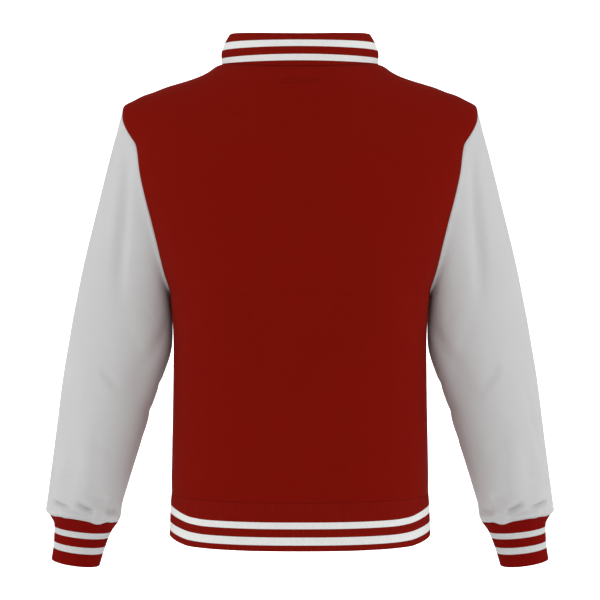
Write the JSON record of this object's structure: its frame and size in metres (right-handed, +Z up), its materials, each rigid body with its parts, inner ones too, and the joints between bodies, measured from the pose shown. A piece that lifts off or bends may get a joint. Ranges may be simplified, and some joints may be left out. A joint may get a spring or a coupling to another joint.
{
  "type": "varsity jacket",
  "caption": "Varsity jacket with a dark red body, pale grey sleeves and striped rib collar, hem and cuffs, in its worn hollow form.",
  "frame": {"origin": "middle of the neck opening, level with the tops of the shoulders, where the wearer holds the jacket up", "axes": "+Z up; the jacket's front faces -Y and its back +Y; +X is the wearer's left"},
  "size_m": [0.7052, 0.2554, 0.7363],
  "materials": {
    "body_fleece": "matt brushed fleece, dark red",
    "sleeve_fleece": "matt brushed fleece, pale grey",
    "rib_knit": "matt rib knit, dark red with pale stripes",
    "snap_enamel": "smooth enamelled cap, off-white"
  },
  "bodies": {
    "root": {"back": "body_fleece", "front_left": "body_fleece", "front_right": "body_fleece", "sleeve_left": "sleeve_fleece", "sleeve_right": "sleeve_fleece", "collar": "rib_knit", "hem_rib": "rib_knit", "cuff_left": "rib_knit", "cuff_right": "rib_knit", "snap_1": "snap_enamel", "snap_2": "snap_enamel", "snap_3": "snap_enamel", "snap_4": "snap_enamel", "snap_5": "snap_enamel", "snap_6": "snap_enamel"}
  },
  "joints": []
}
